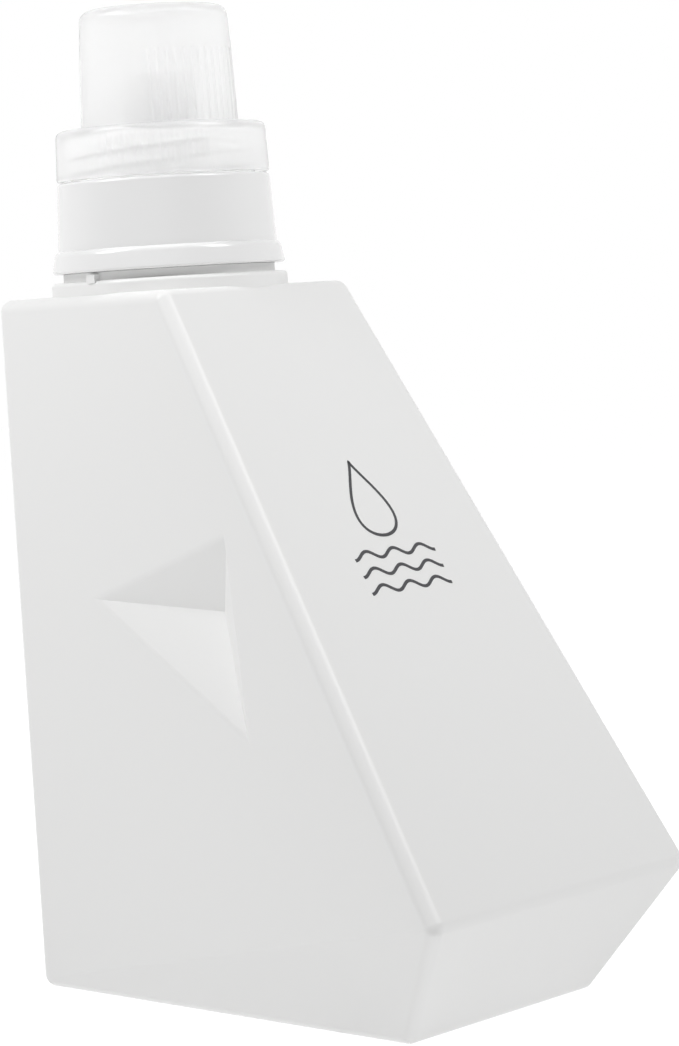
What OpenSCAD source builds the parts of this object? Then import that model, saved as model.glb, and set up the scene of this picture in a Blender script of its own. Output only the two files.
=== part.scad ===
// Laundry liquid dispenser: a blown, wedge-shaped bottle with a screwed pour spout
// and a measuring cap that screws over the spout.
// Millimetres, +Z up. The origin lies on the floor under the middle of the body,
// and the sloping front faces -Y.

/* [Bottle body] */
// Height of the shoulder above the floor
body_h = 154; // [140:1:170]
// Depth from the back face to the foremost edge
body_depth = 134; // [126:1:145]
// Depth of the shoulder, from the back face
top_depth = 61; // [60:0.5:68]
// Depth of the base, from the back face
base_depth = 117; // [106:1:122]
// Width across the two side faces at the back
back_w = 40.6; // [36:0.2:50]
// Width across the two side faces at the foremost edge
front_w = 86; // [78:1:96]
// Width of the base at its front
base_front_w = 63; // [54:1:74]
// Height of the foremost edge
brow_h = 27; // [20:1:36]
// Rounding of every edge of the body
edge_r = 2.8; // [2.2:0.1:4]
// Thickness of the blown wall
wall = 1.3; // [1:0.1:1.8]

/* [Base] */
// Width of the flat rim that the bottle stands on
foot_rim = 7; // [5:0.5:10]
// Height of the base panel above the floor
foot_recess = 1.4; // [0.8:0.1:2.5]
// Corner radius of the base panel
foot_corner_r = 5; // [3:0.5:8]

/* [Finger dimples] */
// Rear point of the dimple: distance from the back face and height
dimple_tail = [30, 88.5]; // [20:0.5:120]
// Upper point of the dimple
dimple_crown = [77, 103]; // [20:0.5:120]
// Lower point of the dimple
dimple_foot = [80, 60.5]; // [20:0.5:120]
// Deepest point of the dimple
dimple_pit = [66, 86]; // [20:0.5:120]
// Depth of the dimple below the side face
dimple_depth = 8; // [4:0.5:10]

/* [Neck] */
// Distance from the back face to the neck axis
neck_back = 34; // [32:0.5:38]
// Diameter of the raised round plateau under the neck
plateau_d = 51.8; // [49:0.2:52]
// Height of the plateau above the shoulder
plateau_h = 2.9; // [1.5:0.1:5]
// Rounding of the plateau's rim
plateau_r = 0.9; // [0.4:0.1:1.4]
// Diameter of the stop bead below the screwed collar
bead_d = 45.2; // [44.4:0.2:48]
// Thickness of the neck wall
neck_wall = 1.9; // [1.4:0.1:2.4]
// Width of each stop lug beside the bead
lug_w = 2.4; // [1.5:0.1:4]
// How far each stop lug stands out of the bead
lug_l = 1.4; // [0.8:0.1:2]

/* [Pour spout] */
// Gap between the plateau and the collar
collar_gap = 1.9; // [1.2:0.1:3]
// Height of the collar
collar_h = 19.7; // [17:0.1:24]
// Diameter of the collar's flared foot
flare_d = 51; // [50:0.2:54]
// Height of the flared foot
flare_h = 5; // [3.5:0.1:7]
// Rounding of the flared foot
flare_r = 1.6; // [0.6:0.1:2]
// Diameter of the collar just above its foot
collar_base_d = 48.4; // [47.4:0.2:49.6]
// Diameter of the collar at the seam with the cap
collar_top_d = 46.7; // [45.8:0.1:47.2]
// Rounding of the collar's edge at the seam
seam_r = 0.8; // [0.4:0.1:1.2]
// Thickness of the collar wall at the seam
collar_wall = 1.6; // [1.2:0.1:2]
// Thickness of the deck that closes the collar
deck_t = 2; // [1.4:0.1:3]
// Depth of the sealing plug inside the neck
plug_h = 4; // [3:0.5:6]
// Thickness of the sealing plug
plug_wall = 1.4; // [1:0.1:2]
// Thickness of the ring that carries the cap's thread
ring_wall = 1.8; // [1.4:0.1:2.4]
// Diameter of the spout where it leaves the deck
spout_base_d = 15; // [12:0.5:17]
// Diameter of the spout at its lip
spout_top_d = 18; // [16:0.5:22]
// Height of the spout above the deck
spout_h = 22.8; // [14:0.2:26]
// Thickness of the spout wall
spout_wall = 1.3; // [1:0.1:1.8]
// Width of the slot that lets drips run back
drain_w = 4; // [3:0.5:6]
// Height of the drain slot
drain_h = 5; // [3:0.5:8]

/* [Measuring cap] */
// Height of the cap's skirt
skirt_h = 11; // [9:0.1:14]
// Diameter of the skirt at its shoulder
skirt_top_d = 45.9; // [45:0.1:46.6]
// Rounding of the skirt's shoulder
skirt_r = 1.4; // [0.8:0.1:2]
// Height of the cup above the skirt
cup_h = 25.8; // [20:0.2:34]
// Diameter of the cup where it leaves the skirt
cup_base_d = 34.4; // [30:0.2:38]
// Diameter of the cup at its closed end
cup_top_d = 32.4; // [28:0.2:34]
// Rounding of the cup's closed end
cup_r = 2.4; // [1.8:0.1:4]
// Thickness of the cap wall
cap_wall = 1.3; // [1:0.1:1.6]
// Angle between neighbouring grip ribs on the cup
rib_pitch = 6.4; // [5:0.2:10]
// Number of grip ribs in each of the two ribbed panels
rib_count = 14; // [9:1:23]
// Angle at which the first ribbed panel starts, seen from above
rib_start = 39; // [0:1:179]
// Width of a grip rib
rib_w = 0.9; // [0.6:0.1:1.2]
// How far a grip rib stands out of the cup
rib_h = 0.25; // [0.15:0.05:0.4]
// Length of a grip rib up the cup
rib_l = 16; // [10:0.5:17]

/* [Fits] */
// Depth of a screw thread, whose ridges stand in the space left for them
thread_depth = 1.1; // [0.8:0.1:1.4]
// Clearance between a thread's crest and the bore around it
thread_gap = 0.4; // [0.3:0.05:0.6]
// Clearance where two closed pieces seat
seat_gap = 0.3; // [0.2:0.05:0.4]

/* [Hidden] */
$fn = 96;
ball_fn = 24;
hull_fn = 32;
lap = 0.5;
dimple_reach = 2;

// Body: the back face, the lean of the side faces and the centres of the corner balls
back_y = body_depth / 2;
side_slope = (front_w - back_w) / 2 / body_depth;
side_lean = atan(side_slope);
function side_x(d) = back_w / 2 + side_slope * d;
function ball_x(d) = side_x(d) - edge_r / cos(side_lean);
base_slope = (base_front_w - back_w) / 2 / base_depth;
function base_x(d) = back_w / 2 + base_slope * d;

shoulder_z = body_h - edge_r;
back_corner = [ball_x(edge_r), edge_r, shoulder_z];
heel_corner = [ball_x(edge_r), edge_r, edge_r];
front_corner = [ball_x(top_depth - edge_r), top_depth - edge_r, shoulder_z];
brow_corner = [ball_x(body_depth - edge_r), body_depth - edge_r, brow_h];
toe_corner = [base_front_w / 2 - edge_r, base_depth - edge_r, edge_r];
body_corners = [back_corner, heel_corner, front_corner, brow_corner, toe_corner];

// Dimple: its points on the +X side face, and the shift that thickens it by the wall
function on_side(p, depth) = [side_x(p[0]) - depth / cos(side_lean), back_y - p[0], p[1]];
pit = on_side(dimple_pit, dimple_depth);
rim_points = [for (p = [dimple_tail, dimple_crown, dimple_foot]) on_side(p, 0)];
mouth_dir = rim_points[0] + rim_points[1] + rim_points[2] - 3 * pit;
function facet_normal(a, b) =
    let (n = cross(a - pit, b - pit), u = n / norm(n))
    u * mouth_dir > 0 ? -u : u;
facets = [for (i = [0:2]) facet_normal(rim_points[i], rim_points[(i + 1) % 3])];
wall_shift = wall * (cross(facets[1], facets[2]) + cross(facets[2], facets[0])
    + cross(facets[0], facets[1])) / (facets[0] * cross(facets[1], facets[2]));

// Closure: heights from the shoulder up, and the bores that fit over the threads
neck_y = back_y - neck_back;
plateau_z = body_h + plateau_h;
collar_z = plateau_z + collar_gap;
seam_z = collar_z + collar_h;
mouth_z = seam_z - deck_t - seat_gap;
collar_bore_d = collar_top_d - 2 * collar_wall;
neck_d = collar_bore_d - 2 * thread_gap - 2 * thread_depth;
neck_bore_d = neck_d - 2 * neck_wall;
plug_d = neck_bore_d - 2 * seat_gap;
skirt_bore_d = skirt_top_d - 2 * cap_wall;
ring_d = skirt_bore_d - 2 * thread_gap - 2 * thread_depth;
cap_z = seam_z + seat_gap;
cap_deck_z = cap_z + skirt_h - cap_wall;
ring_h = cap_deck_z - seat_gap - seam_z;

// A ball whose poles lie exactly on its radius
module ball(r)
    rotate_extrude($fn = ball_fn)
        intersection() {
            circle(r, $fn = ball_fn);
            translate([0, -r]) square([r, 2 * r]);
        }

// A turned plug with a straight taper and a rounded top edge
module turned_plug(r_base, r_top, h, corner) {
    lean = atan((r_base - r_top) / h);
    mid_z = h - corner;
    mid_r = r_base - mid_z * tan(lean) - corner / cos(lean);
    rotate_extrude() {
        polygon([[0, 0], [r_base, 0],
            [mid_r + corner * cos(lean), mid_z + corner * sin(lean)], [mid_r, h], [0, h]]);
        translate([mid_r, mid_z]) circle(corner);
    }
}

// The wedge body, smaller by inset on every side
module body_block(inset)
    hull()
        for (side = [-1, 1], c = body_corners)
            translate([side * c.x, back_y - c.y, c.z]) ball(edge_r - inset);

// The three-sided pyramid of a finger dimple on the +X side face, with its mouth outside the body
module dimple_pyramid() {
    mouth = [for (p = rim_points) pit + dimple_reach * (p - pit)];
    polyhedron(points = concat([pit], mouth), faces = [[1, 3, 2], [0, 3, 1], [0, 2, 3], [0, 1, 2]]);
}

module both_sides() {
    children();
    mirror([1, 0, 0]) children();
}

// The raised base panel inside the standing rim
module base_panel(grow) {
    inset = foot_rim + foot_corner_r;
    hull()
        for (side = [-1, 1], d = [inset, base_depth - inset])
            translate([side * (base_x(d) - inset), back_y - d, -lap])
                cylinder(r = foot_corner_r + grow, h = foot_recess + grow + lap, $fn = hull_fn);
}

module neck_outside() {
    translate([0, 0, shoulder_z])
        turned_plug(plateau_d / 2, plateau_d / 2, edge_r + plateau_h, plateau_r);
    translate([0, 0, plateau_z - lap]) {
        cylinder(d = bead_d, h = lap + collar_gap - seat_gap);
        cylinder(d = neck_d, h = lap + mouth_z - plateau_z);
    }
    both_sides()
        translate([0, -lug_w / 2, plateau_z - lap])
            cube([bead_d / 2 + lug_l, lug_w, lap + collar_gap - 2 * seat_gap]);
}

module bottle() color("whitesmoke")
    difference() {
        union() {
            body_block(0);
            translate([0, neck_y, 0]) neck_outside();
        }
        both_sides() dimple_pyramid();
        base_panel(0);
        difference() {
            body_block(wall);
            both_sides() translate(wall_shift) dimple_pyramid();
            base_panel(wall);
        }
        translate([0, neck_y, shoulder_z]) cylinder(d = neck_bore_d, h = mouth_z);
    }

// Collar wall with its flared foot, as seen from outside
module collar_outside() {
    turned_plug(flare_d / 2, flare_d / 2 - flare_r / 2, flare_h, flare_r);
    turned_plug(collar_base_d / 2, collar_top_d / 2, collar_h, seam_r);
}

module pour_spout() color("white")
    translate([0, neck_y, 0])
        difference() {
            union() {
                difference() {
                    translate([0, 0, collar_z]) collar_outside();
                    translate([0, 0, collar_z - lap])
                        cylinder(d = collar_bore_d, h = collar_h - deck_t + lap);
                }
                difference() {
                    translate([0, 0, seam_z - deck_t - plug_h])
                        cylinder(d = plug_d, h = plug_h + lap);
                    translate([0, 0, seam_z - deck_t - plug_h - lap])
                        cylinder(d = plug_d - 2 * plug_wall, h = plug_h + lap);
                }
                difference() {
                    translate([0, 0, seam_z - lap]) cylinder(d = ring_d, h = ring_h + lap);
                    translate([0, 0, seam_z]) cylinder(d = ring_d - 2 * ring_wall, h = ring_h + lap);
                }
                translate([0, 0, seam_z]) cylinder(d1 = spout_base_d, d2 = spout_top_d, h = spout_h);
            }
            translate([0, 0, seam_z])
                cylinder(d1 = spout_base_d - 2 * spout_wall, d2 = spout_top_d - 2 * spout_wall, h = spout_h);
            translate([0, 0, seam_z - deck_t - lap])
                cylinder(d = spout_base_d - 2 * spout_wall, h = deck_t + 2 * lap);
            translate([-drain_w / 2, 0, seam_z])
                cube([drain_w, spout_top_d / 2, drain_h]);
        }

// Fine upright ribs in two opposite panels, half sunk in the cup's wall
module grip_ribs() {
    lean = atan((cup_base_d - cup_top_d) / 2 / cup_h);
    for (panel = [0, 180], i = [0:rib_count - 1])
        rotate([0, 0, panel + rib_start + i * rib_pitch])
            translate([cup_base_d / 2, 0, 0])
                rotate([0, -lean, 0])
                    translate([-rib_h, -rib_w / 2, 0]) cube([2 * rib_h, rib_w, rib_l]);
}

module measuring_cap() color([0.93, 0.94, 0.95, 0.6])
    translate([0, neck_y, cap_z])
        difference() {
            union() {
                turned_plug(collar_top_d / 2, skirt_top_d / 2, skirt_h, skirt_r);
                translate([0, 0, skirt_h - lap])
                    turned_plug(cup_base_d / 2, cup_top_d / 2, cup_h + lap, cup_r);
                translate([0, 0, skirt_h]) grip_ribs();
            }
            translate([0, 0, -lap]) cylinder(d = skirt_bore_d, h = skirt_h - cap_wall + lap);
            translate([0, 0, skirt_h - cap_wall - lap])
                turned_plug(cup_base_d / 2 - cap_wall, cup_top_d / 2 - cap_wall, cup_h + lap, cup_r - cap_wall);
        }

bottle();
pour_spout();
measuring_cap();
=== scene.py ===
"""Looks of a laundry liquid dispenser: blown wedge bottle, screwed pour spout and measuring cap.

Lengths are in millimetres in the shared frame and angles in degrees. They become metres and radians when a
mesh is made. The floor and the lamps are placed in metres.
"""

import math

import bmesh
import bpy
from mathutils import Matrix, Vector


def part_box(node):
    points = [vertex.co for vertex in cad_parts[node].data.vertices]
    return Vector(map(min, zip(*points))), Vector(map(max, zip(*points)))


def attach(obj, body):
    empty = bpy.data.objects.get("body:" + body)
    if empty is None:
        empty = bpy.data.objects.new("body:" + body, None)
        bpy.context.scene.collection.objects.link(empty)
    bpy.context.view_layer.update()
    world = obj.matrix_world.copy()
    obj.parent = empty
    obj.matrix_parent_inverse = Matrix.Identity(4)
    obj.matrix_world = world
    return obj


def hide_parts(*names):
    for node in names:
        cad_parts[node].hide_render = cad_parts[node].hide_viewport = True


MM = 0.001
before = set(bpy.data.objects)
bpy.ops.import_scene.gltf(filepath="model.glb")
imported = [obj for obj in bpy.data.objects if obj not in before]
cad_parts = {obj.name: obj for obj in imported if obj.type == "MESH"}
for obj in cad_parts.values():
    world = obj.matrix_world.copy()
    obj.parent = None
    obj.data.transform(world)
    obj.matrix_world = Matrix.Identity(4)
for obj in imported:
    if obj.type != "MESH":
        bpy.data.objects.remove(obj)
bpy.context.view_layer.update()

# Places that the frame gives
bottle_low, bottle_high = (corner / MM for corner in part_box("bottle"))
spout_low, spout_high = (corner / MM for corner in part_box("pour_spout"))
cap_low, cap_high = (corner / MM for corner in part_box("measuring_cap"))
BACK_Y = bottle_high.y
BODY_DEPTH = bottle_high.y - bottle_low.y
MOUTH_Z = bottle_high.z
NECK_Y = (spout_low.y + spout_high.y) / 2
COLLAR_Z = spout_low.z
SPOUT_TOP_Z = spout_high.z
FLARE_R = (spout_high.x - spout_low.x) / 2
CAP_Z = cap_low.z
CAP_TOP_Z = cap_high.z
SEAM_R = (cap_high.x - cap_low.x) / 2

# Bottle body
BODY_H = 154.0
TOP_DEPTH = 61.0
BASE_DEPTH = 117.0
BACK_W = 40.6
FRONT_W = 86.0
BASE_FRONT_W = 63.0
BROW_H = 27.0
EDGE_R = 2.8
WALL = 1.3
FOOT_RIM = 7.0
FOOT_RECESS = 1.4
FOOT_CORNER_R = 5.0
SIDE_SLOPE = (FRONT_W - BACK_W) / 2 / BODY_DEPTH
SIDE_COS = math.cos(math.atan(SIDE_SLOPE))

# Finger dimple: distance from the back face and height of its points
DIMPLE_TAIL = (30.0, 88.5)
DIMPLE_CROWN = (77.0, 103.0)
DIMPLE_FOOT = (80.0, 60.5)
DIMPLE_PIT = (66.0, 86.0)
DIMPLE_DEPTH = 8.0
DIMPLE_EDGE_R = 0.9

# Neck with its plateau, stop bead and lugs
NECK_ROOT_Z = BODY_H - EDGE_R
PLATEAU_R = 25.9
PLATEAU_TOP_Z = BODY_H + 2.9
PLATEAU_RIM_R = 0.9
PLATEAU_INSET = 1.7
PLATEAU_BLEND = 1.6
PLATEAU_MIN_LEAN = 0.5
BEAD_R = 23.2
BEAD_TOP_Z = COLLAR_Z - 0.04
BEAD_EDGE = 0.12
NECK_R = 20.25
NECK_BORE_R = 18.35
MOUTH_EDGE = 0.6
MOUTH_CHAMFER = 0.5
LUG_W = 2.4
LUG_L = 1.4
LUG_H = 1.4
LUG_SUNK = 0.5

# Pour spout
SEAM_Z = CAP_Z - 0.3
FLARE_H = 5.0
FLARE_TAPER = 0.8
FLARE_CORNER = 1.6
FLARE_TURN = 66
FLARE_EDGE = 0.6
FLARE_DIP = 0.1
FLARE_BLEND_H = 1.2
FLARE_BLEND_IN = 0.03
COLLAR_BASE_R = 24.2
COLLAR_BORE_R = 21.75
COLLAR_EDGE = 0.8
DECK_T = 2.0
DECK_FILLET = 1.0
PLUG_R = 18.05
PLUG_WALL = 1.4
PLUG_H = 4.0
PLUG_EDGE = 0.7
PLUG_EDGE_START = -120
RING_R = 20.15
RING_WALL = 1.8
RING_TOP_Z = CAP_Z + 9.4
RING_OUTER_EDGE = 0.5
RING_INNER_EDGE = 0.4
SPOUT_BASE_R = 7.5
SPOUT_TOP_R = 9.0
SPOUT_WALL = 1.3
SPOUT_CHAMFER = 0.3
LIP_EDGE = 0.3
LIP_START = -8
DRAIN_W = 4.0
DRAIN_H = 5.0
DRAIN_LIFT = 0.02

# Measuring cap
SKIRT_H = 11.0
SKIRT_TOP_Z = CAP_Z + SKIRT_H
SKIRT_TOP_R = 22.95
SKIRT_BORE_R = 21.65
SKIRT_CORNER = 1.4
SKIRT_CORNER_Z = SKIRT_TOP_Z - SKIRT_CORNER
SKIRT_FOOT_EDGE = 0.6
SKIRT_ROOF_EDGE = 0.6
SKIRT_CHAMFER_IN = 0.3
SKIRT_CHAMFER_H = 0.7
SKIRT_BORE_MARGIN = 0.3
CUP_BASE_R = 17.2
CUP_TOP_R = 16.2
CUP_WALL_TOP_R = CUP_TOP_R + 0.1
CUP_CORNER = 2.4
CUP_FILLET = 0.4
CUP_INNER_FILLET = 0.9
CUP_INNER_IN = 0.05
CUP_INNER_UP = 0.2
CAP_WALL = 1.3
CORNER_START = 2

# Grip ribs of the cap, on two panels each of the cup and the skirt
CUP_RIB_H = 0.25
CUP_RIBS = 56
CUP_RIB_POWER = 1.5
CUP_RIB_TOP_Z = CAP_TOP_Z - 9.6
CUP_RIB_FOOT_Z = SKIRT_TOP_Z + 0.5
CUP_PANEL_START = 36.0
CUP_PANEL_SWEEP = 90.0
CUP_R_SPAN = (CUP_TOP_R - 0.5, CUP_BASE_R + 0.1)
SKIRT_RIB_H = 0.18
SKIRT_RIBS = 108
SKIRT_RIB_POWER = 2
SKIRT_RIB_FOOT_Z = CAP_Z + 1.6
SKIRT_RIB_TOP_Z = SKIRT_CORNER_Z - 0.5
SKIRT_PANEL_START = 183.0
SKIRT_PANEL_SWEEP = 70.0
SKIRT_PANEL_FADE = 8
SKIRT_MIN_R = SKIRT_TOP_R - 0.05

# Rows of points on the cap's walls, as distances from the edge or the ribs' end that each name gives
SKIRT_FOOT_ROWS = (1.5, 2.4, 5.0)
SKIRT_TOP_ROWS = (1.2, 0.3)
CUP_FOOT_ROWS = (0.45, 0.7, 4.0, 8.0, 12.0)
CUP_TOP_ROWS = (-0.3, 0.05)

# Screw threads
THREAD_START = 20
THREAD_FADE = 14
THREAD_STEP = 3
THREAD_SUNK = 0.4
THREAD_ROUND = 0.15
THREAD_ROUND_SHARE = 0.27
THREAD_CREST_SHARE = 0.14
NECK_THREAD_Z = BEAD_TOP_Z + 3.0
NECK_THREAD_LEAD = 5.5
NECK_THREAD_SWEEP = 560
NECK_THREAD_W = 2.2
NECK_THREAD_DEPTH = 1.0
RING_THREADS = 3
RING_THREAD_Z = SEAM_Z + 1.4
RING_THREAD_LEAD = 9.9
RING_THREAD_SWEEP = 240
RING_THREAD_W = 1.0
RING_THREAD_DEPTH = 0.6

# Printed motif on the sloping front
INK_W = 0.75
INK_T = 0.04
DROP_UP = 92.0
DROP_W = 13.0
DROP_H = 18.0
DROP_TAPER = 1.6
DROP_FULLNESS = 1.3
DROP_STEPS = 72
WAVES = 3
WAVE_W = 26.0
WAVE_H = 0.9
WAVE_PITCH = 8.667
WAVE_GAP = 4.0
WAVE_STEPS = 60

# Fineness of the meshes, and small allowances
EDGE_STEPS = 14
DIMPLE_EDGE_STEPS = 4
RIM_STEPS = 12
LATHE_STEPS = 224
RIB_STEPS = 672
CUT_OVER = 1.0
SAME_R = 0.01
AXIS_R = 1e-6

# Largest angle between faces that are shaded as one
BOTTLE_SMOOTH = 11
SPOUT_SMOOTH = 32
CAP_SMOOTH = 60

# Camera of the photograph
CAMERA_PLACE = Vector((-539.1, -480.0, 149.0))
CAMERA_YAW = 49.036
CAMERA_PITCH = -3.725
CAMERA_ROLL = -3.503
CAMERA_LENS = 116.12
SENSOR_H = 36

# Studio light, in metres and watts
TENT_STRENGTH = 0.2
FLOOR_HALF = 3.0
FLOOR_ALBEDO = 0.4
FLOOR_GLOW = 0.92
FLOOR_BOUNCE_ALBEDO = 0.35
FLOOR_BOUNCE_GLOW = 0.6
LEFT_PLACE = (-0.36, 0.215, 0.52)
LEFT_WATTS = 1.65
RIGHT_PLACE = (0.09, -0.40, 0.52)
RIGHT_WATTS = 1.46
SIDE_BOX = (0.2, 0.3)
TOP_PLACE = (0, 0.03, 0.78)
TOP_WATTS = 0.82
TOP_BOX = (0.5, 0.5)
LIGHT_AIM = Vector((0, 0, 0.1))

# Share of the background that lights the inside of the cap through its wall
INSIDE_SHARE = 0.7

# Faces of the body, as loops of corners
PANELS = {
    "shoulder": ("back_l", "front_l", "front_r", "back_r"),
    "back": ("back_l", "back_r", "heel_r", "heel_l"),
    "base": ("heel_l", "heel_r", "toe_r", "toe_l"),
    "slope": ("front_l", "front_r", "brow_r", "brow_l"),
    "chin": ("brow_l", "brow_r", "toe_r", "toe_l"),
    "side_l": ("back_l", "front_l", "brow_l", "heel_l"),
    "side_r": ("back_r", "front_r", "brow_r", "heel_r"),
    "tuck_l": ("brow_l", "heel_l", "toe_l"),
    "tuck_r": ("brow_r", "heel_r", "toe_r"),
}


def side_x(depth):
    """Half the width across the side faces at a distance in front of the back face."""
    return BACK_W / 2 + SIDE_SLOPE * depth


def base_x(depth):
    """Half the width of the base at a distance in front of the back face."""
    return BACK_W / 2 + (BASE_FRONT_W - BACK_W) / 2 / BASE_DEPTH * depth


def body_corners():
    """Centres of the balls that round the corners of the body."""
    def on_face(depth, height):
        return Vector((side_x(depth) - EDGE_R / SIDE_COS, BACK_Y - depth, height))

    right = {
        "back": on_face(EDGE_R, BODY_H - EDGE_R),
        "heel": on_face(EDGE_R, EDGE_R),
        "front": on_face(TOP_DEPTH - EDGE_R, BODY_H - EDGE_R),
        "brow": on_face(BODY_DEPTH - EDGE_R, BROW_H),
        "toe": Vector((BASE_FRONT_W / 2 - EDGE_R, BACK_Y - BASE_DEPTH + EDGE_R, EDGE_R)),
    }
    corners = {}
    for name, p in right.items():
        corners[name + "_r"] = p
        corners[name + "_l"] = Vector((-p.x, p.y, p.z))
    return corners


def arc_between(a, b, steps):
    """Unit vectors from a to b along the great circle."""
    return [a.slerp(b, i / steps) for i in range(steps + 1)]


def dimple_points(inset):
    """Pit and rim points of the dimple on the +X side, for the wall's outer or inner face."""
    def on_side(point, depth):
        return Vector((side_x(point[0]) - depth / SIDE_COS, BACK_Y - point[0], point[1]))

    pit = on_side(DIMPLE_PIT, DIMPLE_DEPTH)
    rim = [on_side(p, 0) for p in (DIMPLE_TAIL, DIMPLE_CROWN, DIMPLE_FOOT)]
    mouth = sum(rim, Vector()) - 3 * pit
    facets = []
    for i in range(3):
        n = (rim[i] - pit).cross(rim[(i + 1) % 3] - pit).normalized()
        facets.append(-n if n.dot(mouth) > 0 else n)
    corner = facets[1].cross(facets[2]) + facets[2].cross(facets[0]) + facets[0].cross(facets[1])
    deep = pit + corner * (inset / facets[0].dot(facets[1].cross(facets[2])))
    face_x = side_x(BACK_Y - deep.y) - inset / SIDE_COS
    moved = []
    for p in rim:
        ray = p - pit
        moved.append(deep + ray * ((face_x - deep.x) / (ray.x + SIDE_SLOPE * ray.y)))
    return deep, moved


class Builder:
    """A mesh under construction, with vertices shared by place."""

    def __init__(self):
        self.bm = bmesh.new()
        self.known = {}

    def vert(self, p):
        """The vertex at a place, made when it is first asked for."""
        key = (round(p[0], 4), round(p[1], 4), round(p[2], 4))
        if key not in self.known:
            self.known[key] = self.bm.verts.new(p)
        return self.known[key]

    def face(self, points):
        """A face through points, left out when fewer than three of them differ."""
        verts = []
        for p in points:
            v = self.vert(p)
            if v not in verts:
                verts.append(v)
        if len(verts) > 2:
            self.bm.faces.new(verts)

    def edge(self, a, b):
        """The edge between two places."""
        return self.bm.edges.get((self.vert(a), self.vert(b)))


def corner_cycle(corner, edges):
    """Panels round a corner, in order."""
    links = [panels for ends, panels in edges.items() if corner in ends]
    order = list(links[0])
    while len(order) < len(links):
        for a, b in links:
            if a == order[-1] and b not in order:
                order.append(b)
                break
            if b == order[-1] and a not in order:
                order.append(a)
                break
    return order


def add_side_panel(build, loop, dimple, sign):
    """A side face with the dimple let into it; returns the edges of the dimple's rim."""
    back, front, brow, heel = loop
    pit, rim = dimple
    pit = Vector((sign * pit.x, pit.y, pit.z))
    tail, crown, foot = (Vector((sign * p.x, p.y, p.z)) for p in rim)
    build.face((back, heel, tail))
    build.face((heel, brow, foot, tail))
    build.face((brow, front, crown, foot))
    build.face((front, back, tail, crown))
    build.face((tail, crown, pit))
    build.face((crown, foot, pit))
    build.face((foot, tail, pit))
    return [build.edge(a, b) for a, b in ((tail, crown), (crown, foot), (foot, tail))]


def add_rounded_corner(build, centre, radius, rim, pole):
    """A round corner of the body: rings of faces that close in from a rim of unit vectors to the pole."""
    rings = EDGE_STEPS // 2
    for k in range(rings):
        near = [centre + radius * u.slerp(pole, k / rings) for u in rim]
        far = [centre + radius * u.slerp(pole, (k + 1) / rings) for u in rim]
        for i in range(len(rim)):
            j = (i + 1) % len(rim)
            build.face((near[i], near[j], far[j], far[i]))


def rounded_body(inset, soften):
    """The wedge body with rounded edges and dimples, smaller by inset on every side."""
    radius = EDGE_R - inset
    corners = body_corners()
    centre = sum(corners.values(), Vector()) / len(corners)
    normals = {}
    edges = {}
    for name, loop in PANELS.items():
        a, b, c = (corners[k] for k in loop[:3])
        n = (b - a).cross(c - a).normalized()
        normals[name] = n if n.dot(a - centre) > 0 else -n
        for i, k in enumerate(loop):
            edges.setdefault(frozenset((k, loop[(i + 1) % len(loop)])), []).append(name)
    build = Builder()
    creases = []
    for name, loop in PANELS.items():
        points = [corners[k] + radius * normals[name] for k in loop]
        if name.startswith("side"):
            creases += add_side_panel(build, points, dimple_points(inset), 1 if name == "side_r" else -1)
        else:
            build.face(points)
    for ends, (one, two) in edges.items():
        a, b = (corners[k] for k in ends)
        fan = arc_between(normals[one], normals[two], EDGE_STEPS)
        for u, v in zip(fan, fan[1:]):
            build.face((a + radius * u, b + radius * u, b + radius * v, a + radius * v))
    for name, corner in corners.items():
        cycle = corner_cycle(name, edges)
        rim = []
        for i, panel in enumerate(cycle):
            rim += arc_between(normals[panel], normals[cycle[(i + 1) % len(cycle)]], EDGE_STEPS)[:-1]
        pole = sum((normals[p] for p in cycle), Vector()).normalized()
        add_rounded_corner(build, corner, radius, rim, pole)
    bm = build.bm
    if soften:
        bmesh.ops.bevel(bm, geom=creases, offset=soften, offset_type="OFFSET", segments=DIMPLE_EDGE_STEPS,
                        profile=0.5, affect="EDGES", clamp_overlap=True)
    bmesh.ops.recalc_face_normals(bm, faces=bm.faces)
    return bm


def arc(cx, cz, r, start, end, steps):
    """Points of a round corner in a lathe profile, angles from +r towards +z."""
    points = []
    for i in range(steps + 1):
        a = math.radians(start + (end - start) * i / steps)
        points.append((cx + r * math.cos(a), cz + r * math.sin(a)))
    return points


def bend(start, knee, end, steps):
    """Points of a soft bend in a lathe profile, after its start."""
    points = []
    for i in range(1, steps + 1):
        t = i / steps
        r, z = ((1 - t) ** 2 * a + 2 * t * (1 - t) * b + t * t * c for a, b, c in zip(start, knee, end))
        points.append((r, z))
    return points


def lathe(profile, steps=LATHE_STEPS, swell=None, closed=False):
    """Turns a profile of (radius, height) about the neck axis.

    Where it is given, swell(angle in radians, height, radius) adds to the radius.
    """
    bm = bmesh.new()
    rows = []
    for r, z in profile:
        if r < AXIS_R:
            rows.append([bm.verts.new((0, NECK_Y, z))])
            continue
        row = []
        for i in range(steps):
            a = 2 * math.pi * i / steps
            reach = r + (swell(a, z, r) if swell else 0)
            row.append(bm.verts.new((reach * math.cos(a), NECK_Y + reach * math.sin(a), z)))
        rows.append(row)
    pairs = list(zip(rows, rows[1:]))
    if closed:
        pairs.append((rows[-1], rows[0]))
    for low, high in pairs:
        for i in range(steps):
            j = (i + 1) % steps
            ring = [low[i % len(low)], low[j % len(low)], high[j % len(high)], high[i % len(high)]]
            corners = []
            for v in ring:
                if v not in corners:
                    corners.append(v)
            if len(corners) > 2:
                bm.faces.new(corners)
    bmesh.ops.recalc_face_normals(bm, faces=bm.faces)
    return bm


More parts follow.
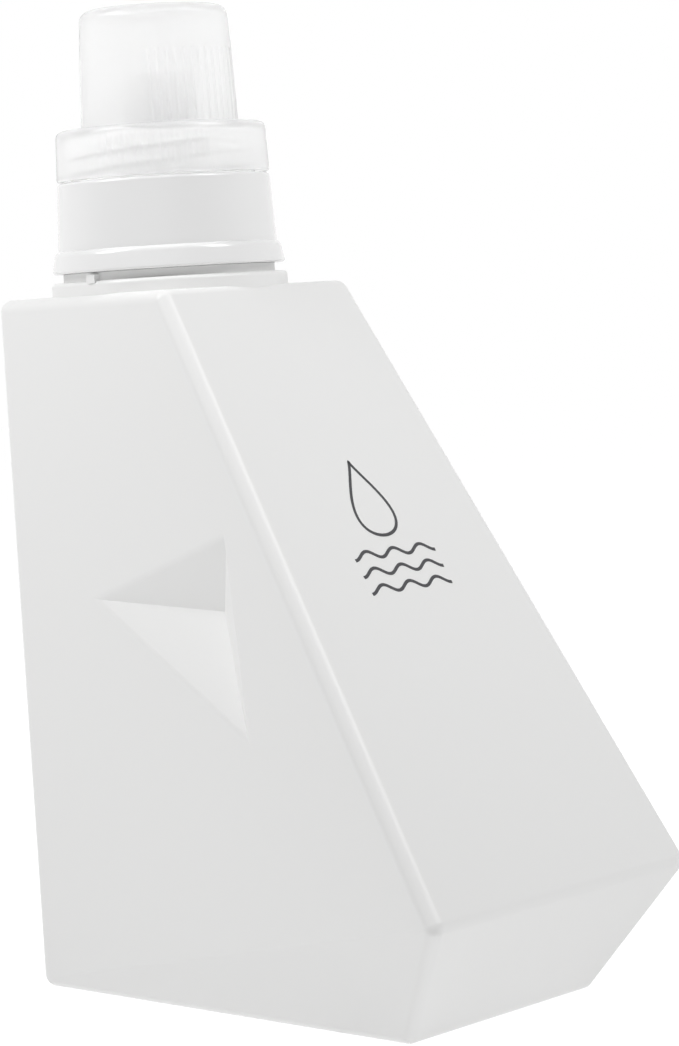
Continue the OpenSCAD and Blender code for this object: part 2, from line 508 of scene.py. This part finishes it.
def helix_ridge(radius, z_start, lead, start, sweep, width, depth):
    """A closed screw-thread ridge whose height fades in and out at its ends."""
    bm = bmesh.new()
    steps = int(sweep / THREAD_STEP)
    round_z = width * THREAD_ROUND_SHARE
    crest_z = width * THREAD_CREST_SHARE
    rows = []
    for i in range(steps + 1):
        share = i / steps
        fade = min(1.0, share * sweep / THREAD_FADE, (1 - share) * sweep / THREAD_FADE)
        fade = math.sin(fade * math.pi / 2)
        a = math.radians(start + sweep * share)
        z = z_start + lead * sweep * share / 360
        root = radius - THREAD_SUNK
        crest = radius + depth * fade
        shoulder = crest - THREAD_ROUND * fade
        row = []
        for r, dz in ((root, -width / 2), (radius, -width / 2), (shoulder, -round_z), (crest, -crest_z),
                      (crest, crest_z), (shoulder, round_z), (radius, width / 2), (root, width / 2)):
            row.append(bm.verts.new((r * math.cos(a), NECK_Y + r * math.sin(a), z + dz)))
        rows.append(row)
    for low, high in zip(rows, rows[1:]):
        for k in range(len(low)):
            n = (k + 1) % len(low)
            bm.faces.new((low[k], low[n], high[n], high[k]))
    bm.faces.new(rows[0])
    bm.faces.new(rows[-1])
    bmesh.ops.recalc_face_normals(bm, faces=bm.faces)
    return bm


def block(low, high):
    """A closed box between two corners."""
    bm = bmesh.new()
    size = Vector(high) - Vector(low)
    middle = (Vector(high) + Vector(low)) / 2
    bmesh.ops.create_cube(bm, size=1, matrix=Matrix.LocRotScale(middle, None, size))
    return bm


def base_panel(grow):
    """The raised base panel as a closed prism, larger by grow on its sides and top."""
    inset = FOOT_RIM + FOOT_CORNER_R
    front = BASE_DEPTH - inset
    bm = bmesh.new()
    outline = []
    for sign, depth, start in ((1, inset, 0), (-1, inset, 90), (-1, front, 180), (1, front, 270)):
        corner_x = sign * (base_x(depth) - inset)
        outline += arc(corner_x, BACK_Y - depth, FOOT_CORNER_R + grow, start, start + 90, RIM_STEPS)
    low = [bm.verts.new((x, y, -CUT_OVER)) for x, y in outline]
    high = [bm.verts.new((x, y, FOOT_RECESS + grow)) for x, y in outline]
    for i in range(len(low)):
        j = (i + 1) % len(low)
        bm.faces.new((low[i], low[j], high[j], high[i]))
    bm.faces.new(low)
    bm.faces.new(high)
    bmesh.ops.recalc_face_normals(bm, faces=bm.faces)
    return bm


def scratch(bm, name="scratch"):
    """A temporary object from a mesh under construction."""
    mesh = bpy.data.meshes.new(name)
    bm.to_mesh(mesh)
    bm.free()
    obj = bpy.data.objects.new(name, mesh)
    bpy.context.scene.collection.objects.link(obj)
    return obj


def combine(target, tool, operation):
    """Joins a second temporary object to the first, or cuts it out of it, and removes it."""
    step = target.modifiers.new("combine", "BOOLEAN")
    step.operation = operation
    step.object = tool
    step.solver = "EXACT"
    shaped = target.evaluated_get(bpy.context.evaluated_depsgraph_get())
    mesh = bpy.data.meshes.new_from_object(shaped)
    target.modifiers.clear()
    old = target.data
    target.data = mesh
    bpy.data.meshes.remove(old)
    spare = tool.data
    bpy.data.objects.remove(tool)
    bpy.data.meshes.remove(spare)


def finish_piece(obj, name, body, node, material, smooth):
    """Turns a temporary object into a piece: metres, smooth shading, material, body and node."""
    obj.name = name
    obj.data.name = name
    obj.data.transform(Matrix.Scale(MM, 4))
    obj.data.shade_smooth()
    obj.data.set_sharp_from_angle(angle=math.radians(smooth))
    even = obj.modifiers.new("even_normals", "WEIGHTED_NORMAL")
    even.mode = "FACE_AREA"
    even.weight = 50
    even.keep_sharp = True
    obj.data.materials.clear()
    obj.data.materials.append(material)
    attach(obj, body)
    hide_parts(node)


def new_material(name):
    """A node material with an empty tree and its output."""
    material = bpy.data.materials.new(name)
    material.use_nodes = True
    nodes = material.node_tree.nodes
    nodes.clear()
    return material, nodes, material.node_tree.links, nodes.new("ShaderNodeOutputMaterial")


def principled(nodes, colour, roughness, **sockets):
    """A Principled shader with constants on its own sockets."""
    shader = nodes.new("ShaderNodeBsdfPrincipled")
    shader.inputs["Base Color"].default_value = (*colour, 1)
    shader.inputs["Roughness"].default_value = roughness
    for socket, value in sockets.items():
        shader.inputs[socket.replace("_", " ")].default_value = value
    return shader


def add_grain(nodes, links, shader, scale, strength):
    """Fine moulded grain in object space, as a bump on a shader."""
    place = nodes.new("ShaderNodeTexCoord")
    noise = nodes.new("ShaderNodeTexNoise")
    noise.inputs["Scale"].default_value = scale
    noise.inputs["Detail"].default_value = 3
    bump = nodes.new("ShaderNodeBump")
    bump.inputs["Strength"].default_value = strength
    bump.inputs["Distance"].default_value = 0.0002
    links.new(place.outputs["Object"], noise.inputs["Vector"])
    links.new(noise.outputs["Fac"], bump.inputs["Height"])
    links.new(bump.outputs["Normal"], shader.inputs["Normal"])


def bottle_material():
    """Satin white plastic of the blown shell."""
    material, nodes, links, out = new_material("satin_white_shell")
    shader = principled(nodes, colour=(0.9, 0.9, 0.895), roughness=0.42, IOR=1.5)
    add_grain(nodes, links, shader, scale=1400, strength=0.08)
    links.new(shader.outputs["BSDF"], out.inputs["Surface"])
    return material


def ink_material():
    """Dark grey ink that follows the grain of the shell."""
    material, nodes, links, out = new_material("printed_ink")
    shader = principled(nodes, colour=(0.045, 0.045, 0.05), roughness=0.5, IOR=1.45)
    add_grain(nodes, links, shader, scale=1400, strength=0.08)
    links.new(shader.outputs["BSDF"], out.inputs["Surface"])
    return material


def spout_material():
    """Glossy white moulded plastic."""
    material, nodes, links, out = new_material("gloss_white_spout")
    shader = principled(nodes, colour=(0.89, 0.89, 0.89), roughness=0.18, IOR=1.49,
                        Coat_Weight=0.4, Coat_Roughness=0.12)
    add_grain(nodes, links, shader, scale=500, strength=0.03)
    links.new(shader.outputs["BSDF"], out.inputs["Surface"])
    return material


def cap_material():
    """Milky translucent plastic with a glossy skin; the low IOR keeps what is behind it in place."""
    material, nodes, links, out = new_material("translucent_cap")
    shader = principled(nodes, colour=(0.985, 0.985, 0.985), roughness=0.32, IOR=1.05,
                        Transmission_Weight=0.82, Coat_Weight=0.5, Coat_Roughness=0.08, Coat_IOR=1.5)
    links.new(shader.outputs["BSDF"], out.inputs["Surface"])
    return material


def plateau_swell(angle, z, r):
    """Draws the plateau's rim in where the sides of the body are close."""
    if r < PLATEAU_R - PLATEAU_RIM_R - SAME_R:
        return 0.0
    lean = max(abs(math.cos(angle)) + SIDE_SLOPE * math.sin(angle), PLATEAU_MIN_LEAN)
    limit = (side_x(BACK_Y - NECK_Y) - PLATEAU_INSET / SIDE_COS) / lean
    spare = limit - PLATEAU_R
    return -math.log1p(math.exp(-PLATEAU_BLEND * spare)) / PLATEAU_BLEND


def plateau():
    """The round plateau, kept inside the body's rounded top edges."""
    profile = [(0, NECK_ROOT_Z), (PLATEAU_R, NECK_ROOT_Z)]
    profile += arc(PLATEAU_R - PLATEAU_RIM_R, PLATEAU_TOP_Z - PLATEAU_RIM_R, PLATEAU_RIM_R, 0, 90, RIM_STEPS)
    profile += [(0, PLATEAU_TOP_Z)]
    return lathe(profile, swell=plateau_swell)


def neck():
    """The neck with its stop bead, before it is bored."""
    profile = [(0, NECK_ROOT_Z), (BEAD_R, NECK_ROOT_Z)]
    profile += arc(BEAD_R - BEAD_EDGE, BEAD_TOP_Z - BEAD_EDGE, BEAD_EDGE, 0, 90, 3)
    profile += [(NECK_R, BEAD_TOP_Z)]
    profile += arc(NECK_R - MOUTH_EDGE, MOUTH_Z - MOUTH_EDGE, MOUTH_EDGE, 0, 90, 4)
    profile += [(0, MOUTH_Z)]
    return lathe(profile)


def neck_bore():
    """The bore of the neck, wider at the mouth."""
    mouth_r = NECK_BORE_R + MOUTH_CHAMFER
    over_z = MOUTH_Z + CUT_OVER
    return lathe([(0, NECK_ROOT_Z), (NECK_BORE_R, NECK_ROOT_Z), (NECK_BORE_R, MOUTH_Z - MOUTH_CHAMFER),
                  (mouth_r, MOUTH_Z), (mouth_r, over_z), (0, over_z)])


def make_bottle():
    """The blown bottle: body, plateau, neck, lugs and thread, then the base panel and the hollow."""
    body = scratch(rounded_body(0, DIMPLE_EDGE_R), "bottle_piece")
    combine(body, scratch(plateau()), "UNION")
    combine(body, scratch(neck()), "UNION")
    for sign in (-1, 1):
        reach = sign * (BEAD_R + LUG_L)
        low = (min(0, reach), NECK_Y - LUG_W / 2, PLATEAU_TOP_Z - LUG_SUNK)
        high = (max(0, reach), NECK_Y + LUG_W / 2, PLATEAU_TOP_Z + LUG_H)
        combine(body, scratch(block(low, high)), "UNION")
    thread = helix_ridge(NECK_R, NECK_THREAD_Z, NECK_THREAD_LEAD, THREAD_START, NECK_THREAD_SWEEP,
                         NECK_THREAD_W, NECK_THREAD_DEPTH)
    combine(body, scratch(thread), "UNION")
    combine(body, scratch(base_panel(0)), "DIFFERENCE")
    hollow = scratch(rounded_body(WALL, 0), "hollow")
    combine(hollow, scratch(base_panel(WALL)), "DIFFERENCE")
    combine(body, hollow, "DIFFERENCE")
    combine(body, scratch(neck_bore()), "DIFFERENCE")
    finish_piece(body, "bottle_shell", "bottle", "bottle", bottle_material(), BOTTLE_SMOOTH)


def collar_profile():
    """Outside of the collar, from its bore over the flared foot up to the seam."""
    flare_top = COLLAR_Z + FLARE_H
    profile = [(COLLAR_BORE_R, COLLAR_Z)]
    profile += arc(FLARE_R - FLARE_EDGE, COLLAR_Z + FLARE_EDGE, FLARE_EDGE, -90, 0, 5)
    lean = math.atan(FLARE_TAPER / FLARE_H)
    turn_r = FLARE_R - (FLARE_H - FLARE_CORNER) * math.tan(lean) - FLARE_CORNER / math.cos(lean)
    profile += arc(turn_r, flare_top - FLARE_CORNER, FLARE_CORNER, math.degrees(lean), FLARE_TURN, 9)
    wall_r = COLLAR_BASE_R + (SEAM_R - COLLAR_BASE_R) * FLARE_H / (SEAM_Z - COLLAR_Z)
    knee = (wall_r, flare_top - FLARE_DIP)
    profile += bend(profile[-1], knee, (wall_r - FLARE_BLEND_IN, flare_top + FLARE_BLEND_H), 6)
    profile += arc(SEAM_R - COLLAR_EDGE, SEAM_Z - COLLAR_EDGE, COLLAR_EDGE, 0, 90, 6)
    return profile


def deck_profile():
    """Top of the pour spout, from the seam over the ring and the deck up to the spout's lip."""
    ring_bore_r = RING_R - RING_WALL
    profile = [(RING_R + SPOUT_CHAMFER, SEAM_Z), (RING_R, SEAM_Z + SPOUT_CHAMFER)]
    profile += arc(RING_R - RING_OUTER_EDGE, RING_TOP_Z - RING_OUTER_EDGE, RING_OUTER_EDGE, 0, 90, 4)
    profile += arc(ring_bore_r + RING_INNER_EDGE, RING_TOP_Z - RING_INNER_EDGE, RING_INNER_EDGE, 90, 180, 4)
    profile += arc(ring_bore_r - DECK_FILLET, SEAM_Z + DECK_FILLET, DECK_FILLET, 0, -90, 5)
    profile += arc(SPOUT_BASE_R + DECK_FILLET, SEAM_Z + DECK_FILLET, DECK_FILLET, -90, -180, 5)
    profile += arc(SPOUT_TOP_R - LIP_EDGE, SPOUT_TOP_Z - LIP_EDGE, LIP_EDGE, LIP_START, 180, 10)
    return profile


def plug_profile():
    """Inside of the pour spout, from its bore round the sealing plug to the collar's bore."""
    deck_low = SEAM_Z - DECK_T
    bore_r = SPOUT_BASE_R - SPOUT_WALL
    plug_bore_r = PLUG_R - PLUG_WALL
    plug_low = deck_low - PLUG_H
    profile = [(bore_r, SEAM_Z), (bore_r, deck_low + SPOUT_CHAMFER), (bore_r + SPOUT_CHAMFER, deck_low)]
    profile += [(plug_bore_r, deck_low), (plug_bore_r, plug_low + SPOUT_CHAMFER)]
    profile += arc(PLUG_R - PLUG_EDGE, plug_low + PLUG_EDGE, PLUG_EDGE, PLUG_EDGE_START, 0, 6)
    profile += [(PLUG_R, deck_low), (COLLAR_BORE_R, deck_low)]
    return profile


def make_spout():
    """The pour spout, turned as one ring, with its drain slot and the cap's thread."""
    profile = collar_profile() + deck_profile() + plug_profile()
    spout = scratch(lathe(profile, closed=True), "spout_piece")
    drain_low = (-DRAIN_W / 2, NECK_Y, SEAM_Z + DRAIN_LIFT)
    drain_high = (DRAIN_W / 2, NECK_Y + SPOUT_TOP_R, SEAM_Z + DRAIN_H)
    combine(spout, scratch(block(drain_low, drain_high)), "DIFFERENCE")
    for k in range(RING_THREADS):
        start = THREAD_START + 360 / RING_THREADS * k
        ridge = helix_ridge(RING_R, RING_THREAD_Z, RING_THREAD_LEAD, start, RING_THREAD_SWEEP,
                            RING_THREAD_W, RING_THREAD_DEPTH)
        combine(spout, scratch(ridge), "UNION")
    finish_piece(spout, "spout_collar", "spout", "pour_spout", spout_material(), SPOUT_SMOOTH)


def cap_swell(angle, z, r):
    """Grip ribs: two ribbed panels on the cup, and two of finer ribs on the skirt."""
    if r > SKIRT_MIN_R and SKIRT_RIB_FOOT_Z < z < SKIRT_RIB_TOP_Z:
        turn = (math.degrees(angle) - SKIRT_PANEL_START) % 180
        fade = min(1.0, turn / SKIRT_PANEL_FADE, (SKIRT_PANEL_SWEEP - turn) / SKIRT_PANEL_FADE)
        crest = max(0.0, math.cos(SKIRT_RIBS * angle)) ** SKIRT_RIB_POWER
        return SKIRT_RIB_H * max(0.0, fade) * crest
    if CUP_R_SPAN[0] < r < CUP_R_SPAN[1] and CUP_RIB_FOOT_Z < z < CUP_RIB_TOP_Z:
        turn = (math.degrees(angle) - CUP_PANEL_START) % 180
        if turn <= CUP_PANEL_SWEEP:
            return CUP_RIB_H * max(0.0, math.cos(CUP_RIBS * angle)) ** CUP_RIB_POWER
    return 0.0


def cap_inside():
    """Inside of the cap, from the middle of its roof down to the skirt's foot."""
    roof = CAP_TOP_Z - CAP_WALL
    corner = CUP_CORNER - CAP_WALL
    bore_r = CUP_BASE_R - CAP_WALL
    skirt_roof = SKIRT_TOP_Z - CAP_WALL
    profile = [(0, roof)]
    profile += arc(CUP_TOP_R - CAP_WALL - corner, roof - corner, corner, 90, 0, 5)
    profile += [(bore_r - CUP_INNER_IN, SKIRT_TOP_Z + CUP_INNER_UP)]
    profile += arc(bore_r + CUP_INNER_FILLET, skirt_roof + CUP_INNER_FILLET, CUP_INNER_FILLET, 180, 270, 4)
    profile += arc(SKIRT_BORE_R - SKIRT_ROOF_EDGE, skirt_roof - SKIRT_ROOF_EDGE, SKIRT_ROOF_EDGE, 90, 0, 4)
    profile += [(SKIRT_BORE_R, skirt_roof - SKIRT_ROOF_EDGE - SKIRT_BORE_MARGIN)]
    profile += [(SKIRT_BORE_R, CAP_Z + SKIRT_CHAMFER_H + SKIRT_BORE_MARGIN)]
    profile += [(SKIRT_BORE_R, CAP_Z + SKIRT_CHAMFER_H), (SKIRT_BORE_R + SKIRT_CHAMFER_IN, CAP_Z)]
    return profile


def cap_outside():
    """Outside of the cap, from the skirt's foot up to the middle of its top."""
    def skirt_r(z):
        return SEAM_R + (SKIRT_TOP_R - SEAM_R) * (z - CAP_Z) / SKIRT_H

    def cup_r(z):
        return CUP_BASE_R + (CUP_WALL_TOP_R - CUP_BASE_R) * (z - SKIRT_TOP_Z) / (CAP_TOP_Z - SKIRT_TOP_Z)

    skirt_rows = [CAP_Z + up for up in SKIRT_FOOT_ROWS]
    skirt_rows += [SKIRT_CORNER_Z - down for down in SKIRT_TOP_ROWS]
    cup_rows = [SKIRT_TOP_Z + up for up in CUP_FOOT_ROWS]
    cup_rows += [CUP_RIB_TOP_Z + up for up in CUP_TOP_ROWS]
    profile = arc(SEAM_R - SKIRT_FOOT_EDGE, CAP_Z + SKIRT_FOOT_EDGE, SKIRT_FOOT_EDGE, -90, 0, 5)
    profile += [(skirt_r(z), z) for z in skirt_rows]
    profile += arc(SKIRT_TOP_R - SKIRT_CORNER, SKIRT_CORNER_Z, SKIRT_CORNER, CORNER_START, 90, 7)
    profile += arc(CUP_BASE_R + CUP_FILLET, SKIRT_TOP_Z + CUP_FILLET, CUP_FILLET, -90, -180, 4)
    profile += [(cup_r(z), z) for z in cup_rows]
    profile += arc(CUP_TOP_R - CUP_CORNER, CAP_TOP_Z - CUP_CORNER, CUP_CORNER, CORNER_START, 90, 8)
    profile += [(0, CAP_TOP_Z)]
    return profile


def make_cap():
    """The measuring cap: the cup and the skirt that screws over the ring."""
    cap = scratch(lathe(cap_inside() + cap_outside(), RIB_STEPS, cap_swell), "cap_piece")
    finish_piece(cap, "cap_cup", "cap", "measuring_cap", cap_material(), CAP_SMOOTH)


def slope_place(across, up, lift):
    """A point over the sloping front: across it, up it from the brow, and out of it."""
    corners = body_corners()
    brow, front = corners["brow_r"], corners["front_r"]
    rise = Vector((0, front.y - brow.y, front.z - brow.z)).normalized()
    out = rise.cross(Vector((-1, 0, 0)))
    start = Vector((0, brow.y, brow.z)) + EDGE_R * out
    return start + Vector((across, 0, 0)) + up * rise + lift * out


def add_stroke(bm, points, closed):
    """A printed line as a thin closed ribbon on the sloping front."""
    rows = []
    count = len(points)
    for i, here in enumerate(points):
        before = points[i - 1] if closed or i else here
        after = points[(i + 1) % count] if closed or i < count - 1 else here
        along = Vector(after) - Vector(before)
        side = Vector((-along.y, along.x)).normalized() * INK_W / 2
        row = []
        for sign, lift in ((-1, -INK_T), (1, -INK_T), (1, INK_T), (-1, INK_T)):
            row.append(bm.verts.new(slope_place(here[0] + sign * side.x, here[1] + sign * side.y, lift)))
        rows.append(row)
    pairs = list(zip(rows, rows[1:]))
    if closed:
        pairs.append((rows[-1], rows[0]))
    else:
        bm.faces.new(rows[0])
        bm.faces.new(rows[-1])
    for one, two in pairs:
        for k in range(4):
            n = (k + 1) % 4
            bm.faces.new((one[k], one[n], two[n], two[k]))


def make_print():
    """A plain drop over waves, printed on the sloping front."""
    bm = bmesh.new()
    drop = []
    for i in range(DROP_STEPS):
        t = 2 * math.pi * i / DROP_STEPS
        swell = math.sin(t) * math.sin(t / 2) ** DROP_TAPER
        drop.append((DROP_FULLNESS * DROP_W / 2 * swell, DROP_UP + DROP_H / 2 * math.cos(t)))
    add_stroke(bm, drop, True)
    for k in range(WAVES):
        wave = []
        for i in range(WAVE_STEPS + 1):
            across = WAVE_W * (i / WAVE_STEPS - 0.5)
            bob = WAVE_H * math.cos(2 * math.pi * across / WAVE_PITCH)
            wave.append((across, DROP_UP - DROP_H / 2 - WAVE_GAP * (k + 1) + bob))
        add_stroke(bm, wave, False)
    bmesh.ops.recalc_face_normals(bm, faces=bm.faces)
    ink = scratch(bm, "front_print")
    ink.data.transform(Matrix.Scale(MM, 4))
    ink.data.materials.append(ink_material())
    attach(ink, "bottle")


def math_node(nodes, links, operation, *values):
    """The output of a math node whose inputs are sockets or constants."""
    node = nodes.new("ShaderNodeMath")
    node.operation = operation
    for socket, value in zip(node.inputs, values):
        if isinstance(value, float):
            socket.default_value = value
        else:
            links.new(value, socket)
    return node.outputs[0]


def seen_rays(nodes, links):
    """1 for rays that look at the background, straight or by way of gloss or glass, and 0 for its light.

    After a diffuse bounce such a ray counts for a share: that is light through the wall of the cap.
    """
    path = nodes.new("ShaderNodeLightPath")
    seen = path.outputs["Is Camera Ray"]
    for kind in ("Is Glossy Ray", "Is Transmission Ray"):
        seen = math_node(nodes, links, "MAXIMUM", seen, path.outputs[kind])
    direct = math_node(nodes, links, "LESS_THAN", path.outputs["Diffuse Depth"], 0.5)
    share = math_node(nodes, links, "MULTIPLY_ADD", direct, 1 - INSIDE_SHARE, INSIDE_SHARE)
    return math_node(nodes, links, "MULTIPLY", seen, share)


def glowing_floor(nodes, links, albedo, glow):
    """A matt white floor with a glow of its own."""
    matt = nodes.new("ShaderNodeBsdfDiffuse")
    matt.inputs["Color"].default_value = (albedo, albedo, albedo, 1)
    lamp = nodes.new("ShaderNodeEmission")
    lamp.inputs["Strength"].default_value = glow
    both = nodes.new("ShaderNodeAddShader")
    links.new(matt.outputs["BSDF"], both.inputs[0])
    links.new(lamp.outputs["Emission"], both.inputs[1])
    return both


def mix_by_ray(nodes, links, out, light, look):
    """One shader for the light that a background gives, and another for how it looks."""
    mix = nodes.new("ShaderNodeMixShader")
    links.new(seen_rays(nodes, links), mix.inputs[0])
    links.new(light.outputs[0], mix.inputs[1])
    links.new(look.outputs[0], mix.inputs[2])
    links.new(mix.outputs[0], out.inputs["Surface"])


def make_stage():
    """Plain white floor that keeps a soft shadow."""
    mesh = bpy.data.meshes.new("floor")
    corners = [(-FLOOR_HALF, -FLOOR_HALF, 0), (FLOOR_HALF, -FLOOR_HALF, 0),
               (FLOOR_HALF, FLOOR_HALF, 0), (-FLOOR_HALF, FLOOR_HALF, 0)]
    mesh.from_pydata(corners, [], [(0, 1, 2, 3)])
    floor = bpy.data.objects.new("floor", mesh)
    bpy.context.scene.collection.objects.link(floor)
    material, nodes, links, out = new_material("white_floor")
    bounce = glowing_floor(nodes, links, FLOOR_BOUNCE_ALBEDO, FLOOR_BOUNCE_GLOW)
    shown = glowing_floor(nodes, links, FLOOR_ALBEDO, FLOOR_GLOW)
    mix_by_ray(nodes, links, out, bounce, shown)
    mesh.materials.append(material)


def make_world():
    """A tent that looks white and lights the object softly."""
    world = bpy.data.worlds.new("studio")
    bpy.context.scene.world = world
    world.use_nodes = True
    nodes = world.node_tree.nodes
    links = world.node_tree.links
    nodes.clear()
    out = nodes.new("ShaderNodeOutputWorld")
    tents = []
    for strength in (TENT_STRENGTH, 1.0):
        white = nodes.new("ShaderNodeBackground")
        white.inputs["Color"].default_value = (1, 1, 1, 1)
        white.inputs["Strength"].default_value = strength
        tents.append(white)
    mix_by_ray(nodes, links, out, *tents)


def make_camera():
    """The camera, turned by yaw, pitch and roll at its place."""
    yaw, pitch, roll = (math.radians(a) for a in (CAMERA_YAW, CAMERA_PITCH, CAMERA_ROLL))
    ahead = Vector((math.sin(yaw) * math.cos(pitch), math.cos(yaw) * math.cos(pitch), math.sin(pitch)))
    level = ahead.cross(Vector((0, 0, 1))).normalized()
    rise = level.cross(ahead)
    right = math.cos(roll) * level + math.sin(roll) * rise
    up = -math.sin(roll) * level + math.cos(roll) * rise
    data = bpy.data.cameras.new("camera")
    data.sensor_fit = "VERTICAL"
    data.sensor_height = SENSOR_H
    data.lens = CAMERA_LENS
    camera = bpy.data.objects.new("camera", data)
    bpy.context.scene.collection.objects.link(camera)
    turn = Matrix((right, up, -ahead)).transposed()
    camera.matrix_world = Matrix.Translation(CAMERA_PLACE * MM) @ turn.to_4x4()
    bpy.context.scene.camera = camera


def softbox(name, place, size, watts):
    """A rectangular lamp that looks at the object."""
    data = bpy.data.lights.new(name, "AREA")
    data.shape = "RECTANGLE"
    data.size, data.size_y = size
    data.energy = watts
    light = bpy.data.objects.new(name, data)
    bpy.context.scene.collection.objects.link(light)
    look = (LIGHT_AIM - Vector(place)).to_track_quat("-Z", "Y")
    light.matrix_world = Matrix.Translation(Vector(place)) @ look.to_matrix().to_4x4()


def make_lights():
    """Three softboxes: two high at the sides and one overhead."""
    softbox("left_softbox", LEFT_PLACE, SIDE_BOX, LEFT_WATTS)
    softbox("right_softbox", RIGHT_PLACE, SIDE_BOX, RIGHT_WATTS)
    softbox("top_softbox", TOP_PLACE, TOP_BOX, TOP_WATTS)


make_camera()
make_stage()
make_world()
make_lights()
make_bottle()
make_print()
make_spout()
make_cap()

bpy.context.scene.view_settings.view_transform = "Standard"
